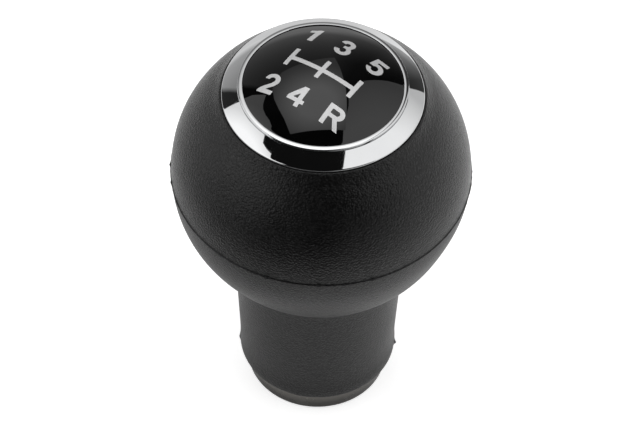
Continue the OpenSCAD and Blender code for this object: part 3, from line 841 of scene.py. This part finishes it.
def emission_material(name, strength):
    """Light from the front of a sheet only; strength is a function that returns a socket of the tree."""
    t = Tree(name)
    t.nodes.remove(t.shader)
    lit = t.add("Emission", {"Strength": strength(t)})
    dark = t.add("Emission", {"Strength": 0.0})
    behind = t.add("NewGeometry").outputs["Backfacing"]
    mix = t.add("MixShader", {0: behind, 1: lit.outputs[0], 2: dark.outputs[0]})
    t.links.new(mix.outputs[0], t.out.inputs["Surface"])
    return t.mat


def face_knob(obj):
    """Turns a sheet's lit side to the knob, and hides it from the camera and from shadows."""
    first = obj.data.polygons[0]
    if first.normal.dot(LAMP_MID - first.center) < 0:
        obj.data.flip_normals()
    obj.visible_camera = False
    obj.visible_shadow = False


def card(name, centre, corners, radius, mat):
    """A softbox seen in the gloss: corners as azimuth and elevation round the knob."""
    verts = [LAMP_MID + direction(az, el) * radius for az, el in [centre] + corners]
    n = len(corners)
    faces = [(0, k + 1, (k + 1) % n + 1) for k in range(n)]
    obj = new_object(name, verts, faces, mat)
    face_knob(obj)


def heading(t):
    """The direction from the knob to the shaded point, as a unit vector."""
    return t.vector("NORMALIZE", t.vector("SUBTRACT", t.place(), tuple(LAMP_MID)))


def nearness(t, toward):
    """Cosine of the angle between the shaded point and a direction."""
    return t.vector("DOT_PRODUCT", heading(t), tuple(direction(*toward)))


def top_strength(t):
    """Brightest under its lamp, high up behind the knob, and dim along its far edge."""
    near = t.ramp(nearness(t, TOP_BRIGHT), span=(0.80, 0.98))
    return t.math("MULTIPLY_ADD", t.math("POWER", near, TOP_FALL), TOP_GAIN, TOP_BASE)


def right_strength(t):
    return t.ramp(nearness(t, RIGHT_BRIGHT), span=(0.55, 0.90), out=(0.66, 1.22))


def left_strength(t):
    return t.ramp(nearness(t, LEFT_BRIGHT), span=(0.78, 0.88), out=(1.0, 1.45))


def canopy_strength(t):
    """Dim room above the table: grey low down behind the knob, dark at the sides, high up and in front."""
    unit = heading(t)
    high = t.upward(unit)
    flat = t.vector("NORMALIZE", t.vector("MULTIPLY", unit, (1, 1, 0)))
    side = t.vector("DOT_PRODUCT", flat, tuple(direction(90, 0)))
    back = t.vector("DOT_PRODUCT", flat, tuple(direction(0, 0)))
    low = t.ramp(high, span=(0.0, 0.10), out=(0.85, 0.47))
    level = t.math("ADD", low, t.ramp(high, span=(0.10, 0.60), out=(0.0, -0.26)))
    for span, out in CANOPY_SIDES:
        level = t.math("MULTIPLY", level, t.ramp(side, span, out))
    rightward = t.ramp(side, span=(0.05, 0.36), out=(0.0, 0.6))
    corner = t.math("MULTIPLY", rightward, t.ramp(high, span=(0.15, 0.55)))
    level = t.math("MULTIPLY", level, t.math("SUBTRACT", 1.0, corner))
    level = t.math("MULTIPLY", level, t.ramp(back, span=(0.25, 0.45)))
    return t.math("ADD", level, CANOPY_LEAST)


def make_canopy():
    """An inward-facing dome that only reflections see."""
    verts, faces = [], []
    for i in range(CANOPY_RINGS + 1):
        el = CANOPY_LOW + CANOPY_HEIGHT * i / CANOPY_RINGS
        turns = [360 * j / CANOPY_AROUND for j in range(CANOPY_AROUND)]
        verts += [LAMP_MID + direction(az, el) * CANOPY_R for az in turns]
    for i in range(CANOPY_RINGS):
        row, above = i * CANOPY_AROUND, (i + 1) * CANOPY_AROUND
        for j in range(CANOPY_AROUND):
            k = (j + 1) % CANOPY_AROUND
            faces.append((row + j, row + k, above + k, above + j))
    canopy = new_object("canopy", verts, faces, emission_material("canopy_cloth", canopy_strength))
    face_knob(canopy)
    canopy.visible_diffuse = False
    canopy.visible_transmission = False


def make_floor():
    """White table; in the gloss its far parts are dimmer, most of all in front, where the room is dark."""
    t = Tree("floor_white")
    path = t.add("LightPath")
    glossy = path.outputs["Is Glossy Ray"]
    place = t.place()
    reach = t.vector("LENGTH", place)
    unit = t.vector("NORMALIZE", place)
    behind = t.vector("DOT_PRODUCT", unit, tuple(AWAY))
    right = t.vector("DOT_PRODUCT", unit, tuple(RIGHT))
    paper = t.noise(scale=300, detail=3, roughness=0.6)
    colour = t.tint(paper, dark=(0.875, 0.875, 0.875), light=(0.90, 0.90, 0.90))
    t.finish(Base_Color=colour, Roughness=0.9, Specular_IOR_Level=0.0)

    # Near the knob: plain white for the camera, and a mild slope to the sides in the gloss
    plain = t.math("MAXIMUM", path.outputs["Is Camera Ray"], path.outputs["Is Transmission Ray"])
    left_side = t.ramp(right, span=(-0.9, -0.3), out=(0.15, 0.23))
    tilt = t.math("ADD", left_side, t.ramp(right, span=(0.2, 0.9), out=(0.0, 0.10)))
    level = t.math("MULTIPLY_ADD", plain, FLOOR_GLOW, t.math("MULTIPLY", glossy, tilt))
    glow = t.add("Emission", {"Strength": level})
    near = t.add("AddShader", {0: t.shader.outputs[0], 1: glow.outputs[0]}).outputs[0]

    # Far from the knob, in the gloss only: dark in front, brighter behind and to the right
    slope = t.ramp(behind, span=(-0.6, 0.4), out=(0.03, 0.46))
    dim = t.math("ADD", slope, t.ramp(right, span=(0.1, 0.9), out=(0.0, 0.85)))
    lift = t.ramp(behind, span=(0.2, 0.6), out=(0.0, 0.35))
    back = t.math("MULTIPLY", lift, t.ramp(reach, span=(0.12, 0.35)))
    far = t.add("Emission", {"Strength": t.math("ADD", dim, back)}).outputs[0]

    # The change from near to far starts sooner at the left and ends sooner in front
    start = t.ramp(right, span=(-0.6, 0.0), out=(0.028, 0.05))
    end = t.ramp(behind, span=(-0.5, 0.3), out=(0.15, 0.40))
    blend = t.math("MULTIPLY", glossy, t.ramp(reach, span=(start, end)))
    mix = t.add("MixShader", {0: blend, 1: near, 2: far})
    t.links.new(mix.outputs[0], t.out.inputs["Surface"])
    low, half = -FLOOR_DROP * MM, FLOOR_HALF
    verts = [(-half, -half, low), (half, -half, low), (half, half, low), (-half, half, low)]
    floor = new_object("floor", verts, [(0, 1, 2, 3)], t.mat)


def make_world():
    """White for the camera, the gloss and glass; a dim fill light for everything else."""
    world = bpy.data.worlds.new("studio")
    scene.world = world
    world.use_nodes = True
    nodes, links = world.node_tree.nodes, world.node_tree.links

    def larger(a, b):
        node = nodes.new("ShaderNodeMath")
        node.operation = "MAXIMUM"
        links.new(a, node.inputs[0])
        links.new(b, node.inputs[1])
        return node.outputs[0]

    path = nodes.new("ShaderNodeLightPath")
    seen = larger(path.outputs["Is Camera Ray"], path.outputs["Is Glossy Ray"])
    seen = larger(seen, path.outputs["Is Transmission Ray"])
    strength = nodes.new("ShaderNodeMapRange")
    links.new(seen, strength.inputs["Value"])
    strength.inputs["To Min"].default_value = WORLD_LEVEL
    strength.inputs["To Max"].default_value = 1.0
    background = nodes["Background"]
    background.inputs["Color"].default_value = (1, 1, 1, 1)
    links.new(strength.outputs[0], background.inputs["Strength"])


def make_studio():
    top = emission_material("top_cloth", top_strength)
    right = emission_material("right_cloth", right_strength)
    left = emission_material("left_cloth", left_strength)
    card("top_softbox", TOP_MIDDLE, TOP_CORNERS, TOP_DISTANCE, top)
    card("right_softbox", RIGHT_MIDDLE, RIGHT_CORNERS, SIDE_DISTANCE, right)
    card("left_softbox", LEFT_MIDDLE, LEFT_CORNERS, SIDE_DISTANCE, left)
    make_canopy()
    make_floor()
    make_world()


# The knob
INK = print_material()
make_grip(foam_material())
make_ring(chrome_material())
make_cap(gloss_material())
for part_name, outline in glyphs().items():
    printed_pad(part_name, outline, INK)
finishes = {"core": collar_material(), "lever_bush": bush_material(), "clamp_ring": steel_material()}
for node_name, finish in finishes.items():
    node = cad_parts[node_name]
    node.data.materials.clear()
    node.data.materials.append(finish)
make_studio()
